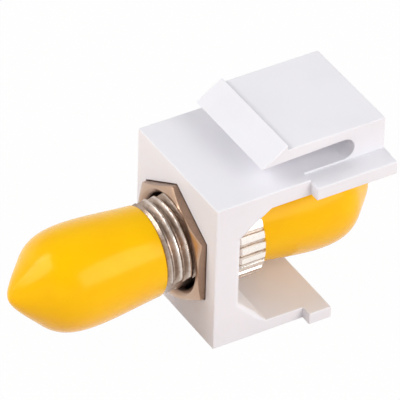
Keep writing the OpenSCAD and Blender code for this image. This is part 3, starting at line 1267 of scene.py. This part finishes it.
    def keyway_tool(self, front: float) -> bmesh.types.BMesh:
        """Makes the tool that cuts the keyway, turned to its place.

        Args:
            front: front end of the barrel.

        Returns:
            The edit mesh.
        """
        width, length = self.keyway
        section = box_outline(0, -width / 2, self.barrel + self.past, width / 2)
        tool = slab(section, front - self.past, front + length, Across.Y)
        turn = Matrix.Rotation(-math.radians(self.roll_deg + 90), 4, "Y")
        seat = Matrix.Translation((0, 0, self.axis_height)) @ turn
        bmesh.ops.transform(tool, matrix=seat, verts=tool.verts)
        return tool

    def dress_pressed_pieces(self) -> None:
        """Dresses the solids of what is pressed into the body."""
        dress(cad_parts["rear_barrel"], BODY_PLATE)
        dress(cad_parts["alignment_sleeve"], SLEEVE_BRONZE)
        for name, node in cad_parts.items():
            if name.startswith("bayonet_pin"):
                dress(node, PIN_STEEL)

    def build(self) -> None:
        """Builds, dresses and fixes the body, and dresses what is pressed into it."""
        low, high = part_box("adapter_body")
        front, rear = low.y / MM, high.y / MM
        angles = self.angles()
        sections = self.outside(front, rear, angles) + self.inside(front, rear)
        rings = [self.ring(radius, place, angles) for radius, place in sections]
        body = finish_object(skin(rings), "coupler_body")
        cut(body, self.keyway_tool(front))
        settle_shading(body, self.sharp_deg)
        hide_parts("adapter_body")
        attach(body, "root")
        dress(body, BODY_PLATE)
        self.dress_pressed_pieces()


@dataclass
class DustCap(Turned):
    """Soft cap drawn over a barrel, a little wider where it lies over the bayonet pins.

    Attributes:
        sharp_deg: angle above which an edge stays sharp.
        node: solid that the cap stands for.
        body: body that it rides on.
        way: side on which its tip lies, -1 to the front and 1 to the rear.
        mouth_radius: outer radius at the mouth.
        bulge_radius: largest outer radius.
        bulge_from_tip: distance of that place from the tip.
        shoulder_radius: radius where the nose starts.
        shoulder_from_tip: distance of that place from the tip.
        nose_slope: change of radius and distance where the nose starts.
        mouth_part: number by which the side is divided for the curve's straight start at the mouth.
        side_part: the same for its straight end at the bulge.
        bulge_pull: how far the curve leaves the bulge straight.
        nose_pull: the same at the shoulder.
        tip_pull: the same at the tip.
        bore: radius of the bore.
        bore_past_bulge: how far the bore ends before the bulge's distance from the tip.
        bore_pull: how far the curve leaves the bore straight.
        tip_wall: thickness at the tip.
        lean: how far the cap leans, in X and Z, for each millimetre of its length.
        shift: how far its mouth is off the axis, in X and Z.
        columns: number of points round the cap.
        lip_rows: number of rings round the mouth's edge.
        side_rows: number of rings from the mouth to the bulge.
        bulge_rows: number of rings from there to the shoulder.
        nose_rows: number of rings from there to the tip.
        bore_rows: number of rings in the bore's rounded end.
    """

    sharp_deg: float = 60.0
    node: str = "dust_cap_front"
    body: str = "front_cap"
    way: int = -1
    mouth_radius: float = 4.47
    bulge_radius: float = 5.05
    bulge_from_tip: float = 7.3
    shoulder_radius: float = 3.55
    shoulder_from_tip: float = 2.75
    nose_slope: Pair = (-1.05, 1.0)
    mouth_part: float = 3.0
    side_part: float = 3.5
    bulge_pull: float = 2.1
    nose_pull: float = 1.1
    tip_pull: float = 0.95
    bore: float = 4.2
    bore_past_bulge: float = 1.5
    bore_pull: float = 2.2
    tip_wall: float = 1.6
    lean: Pair = (0.012, -0.004)
    shift: Pair = (0.05, -0.06)
    columns: int = 128
    lip_rows: int = 8
    side_rows: int = 24
    bulge_rows: int = 20
    nose_rows: int = 20
    bore_rows: int = 16

    def outline(self, length: float) -> list[np.ndarray]:
        """Draws half of the cap's section.

        Args:
            length: length of the cap.

        Returns:
            Radius and distance from the mouth, along the outside and back along the inside.
        """
        lip = (self.mouth_radius - self.bore) / 2
        edge = outline_arc((self.bore + lip, lip), lip, -180, 0, self.lip_rows)
        mouth = np.array([self.mouth_radius, lip])
        bulge = np.array([self.bulge_radius, length - self.bulge_from_tip])
        shoulder = np.array([self.shoulder_radius, length - self.shoulder_from_tip])
        tip = np.array([0.0, length])
        rise = np.array([(bulge[0] - mouth[0]) / bulge[1], 1.0])
        nose = np.array(self.nose_slope) * self.nose_pull
        over_tip = [self.tip_pull, 0]
        from_mouth = mouth + rise * bulge[1] / self.mouth_part
        to_bulge = bulge - [0, bulge[1] / self.side_part]
        outside = cubic([mouth, from_mouth, to_bulge, bulge], self.side_rows)
        outside += cubic([bulge, bulge + [0, self.bulge_pull], shoulder - nose, shoulder], self.bulge_rows)
        outside += cubic([shoulder, shoulder + nose, tip + over_tip, tip], self.nose_rows)
        bore_end = np.array([self.bore, length - self.bulge_from_tip + self.bore_past_bulge])
        inner_tip = np.array([0.0, length - self.tip_wall])
        from_bore = bore_end + [0, self.bore_pull]
        inside = cubic([inner_tip, inner_tip + over_tip, from_bore, bore_end], self.bore_rows)
        return [np.array(point) for point in edge] + outside + [inner_tip] + inside

    def build(self) -> None:
        """Builds, dresses and fixes the cap."""
        low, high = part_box(self.node)
        mouth, tip = sorted((low.y / MM, high.y / MM), key=lambda place: place * self.way)
        angles = np.linspace(0, 2 * math.pi, self.columns, endpoint=False)
        rings = []
        for radius, distance in self.outline(abs(tip - mouth)):
            across = self.shift[0] + self.lean[0] * distance
            rise = self.shift[1] + self.lean[1] * distance
            columns = angles if radius > POLE_RADIUS else angles[:1]
            ring = self.ring(radius, mouth + self.way * distance, columns)
            rings.append(ring + np.array([across, 0.0, rise]))
        cap = finish_object(skin(rings), self.node.replace("dust_cap", "cap"), self.sharp_deg)
        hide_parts(self.node)
        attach(cap, self.body)
        dress(cap, YELLOW_VINYL)


@dataclass(frozen=True)
class Lamp:
    """Rectangular soft lamp that points at the object.

    Attributes:
        name: lamp's name.
        place: its place.
        size: its width and height.
        power: its power, in watts.
    """

    name: str
    place: tuple[float, float, float]
    size: Pair
    power: float

    def build(self, target: Sequence[float]) -> None:
        """Hangs the lamp.

        Args:
            target: point that it is turned towards.
        """
        data = bpy.data.lights.new(self.name, "AREA")
        data.shape = "RECTANGLE"
        data.size, data.size_y = (length * MM for length in self.size)
        data.energy = self.power
        made = bpy.data.objects.new(self.name, data)
        bpy.context.scene.collection.objects.link(made)
        made.location = Vector(self.place) * MM
        aim = Vector(target) - Vector(self.place)
        made.rotation_mode = "QUATERNION"
        made.rotation_quaternion = aim.to_track_quat("-Z", "Y")


@dataclass
class Studio:
    """White stage, soft lamps and the camera of the picture.

    Attributes:
        target: point that the lamps point at and the camera turns about.
        azimuth: camera's direction from -Y towards +X, in degrees.
        elevation: its angle above the floor, in degrees.
        roll: its turn about its own axis, in degrees.
        distance: its distance from the target.
        lens: its focal length.
        sensor: width of its sensor.
        slide: how far it is moved to the left and down, across its own axis.
        room: height and brightness at two places of the room round the object.
        floor_half: half the width of the floor.
        floor_drop: how far the floor lies below the object.
        lamps: the lamps.
    """

    target: tuple[float, float, float] = (0.0, 5.0, 8.0)
    azimuth: float = 58.55
    elevation: float = 37.81
    roll: float = 1.74
    distance: float = 447.7
    lens: float = 430.9
    sensor: float = 36.0
    slide: Pair = (2.03, -2.23)
    room: tuple[Pair, Pair] = ((0.12, 1.0), (0.5, 0.4))
    floor_half: float = 1500.0
    floor_drop: float = 0.02
    lamps: tuple[Lamp, ...] = (
        Lamp("window", (285, 155, 195), (320, 225), 0.77),
        Lamp("strip", (-190, -250, 225), (20, 360), 0.12),
        Lamp("fill", (-130, -350, 315), (300, 240), 1.06),
    )

    def camera(self) -> None:
        """Places the camera where the picture was taken from."""
        a, e, r = (math.radians(angle) for angle in (self.azimuth, self.elevation, self.roll))
        back = Vector((math.sin(a) * math.cos(e), -math.cos(a) * math.cos(e), math.sin(e)))
        level = Vector((math.cos(a), math.sin(a), 0.0))
        rise = back.cross(level)
        right = level * math.cos(r) + rise * math.sin(r)
        up = rise * math.cos(r) - level * math.sin(r)
        data = bpy.data.cameras.new("camera")
        data.lens = self.lens
        data.sensor_width = self.sensor
        data.clip_start, data.clip_end = 0.01, 20.0
        eye = bpy.data.objects.new("camera", data)
        bpy.context.scene.collection.objects.link(eye)
        place = Vector(self.target) + back * self.distance - right * self.slide[0] - up * self.slide[1]
        turn = Matrix((right, up, back)).transposed().to_4x4()
        eye.matrix_world = Matrix.Translation(place * MM) @ turn
        bpy.context.scene.camera = eye

    def stage(self) -> None:
        """Lays the white floor under the object."""
        mesh = bmesh.new()
        bmesh.ops.create_grid(mesh, x_segments=8, y_segments=8, size=self.floor_half)
        bmesh.ops.translate(mesh, vec=(0, 0, -self.floor_drop), verts=mesh.verts)
        floor = finish_object(mesh, "floor")
        floor.data.materials.append(material_of(STAGE_WHITE))

    def world(self) -> None:
        """Surrounds the object with a room that is white at the horizon and darker overhead."""
        world = bpy.data.worlds.new("studio")
        bpy.context.scene.world = world
        shader = Shader(world, "ShaderNodeOutputWorld")
        height = shader.part(shader.node("ShaderNodeTexCoord", out="Generated"), "Z")
        stops = [(place, (level, level, level)) for place, level in self.room]
        light = shader.node("ShaderNodeValToRGB", {"stops": stops}, {0: height})
        shader.surface(shader.node("ShaderNodeBackground", {}, {"Color": light}))

    def build(self) -> None:
        """Sets up camera, lamps, stage and view."""
        bpy.context.scene.view_settings.view_transform = "Standard"
        self.camera()
        self.stage()
        self.world()
        for lamp in self.lamps:
            lamp.build(self.target)


def main() -> None:
    """Builds the object piece by piece, and the studio round it."""
    logging.basicConfig(level=logging.INFO, format="%(message)s")
    Studio().build()
    Insert().build()
    HexNut().build()
    Coupler().build()
    DustCap().build()
    DustCap(node="dust_cap_rear", body="rear_cap", way=1, lean=(0.034, -0.01), shift=(0.0, 0.0)).build()


if __name__ == "__main__":
    main()
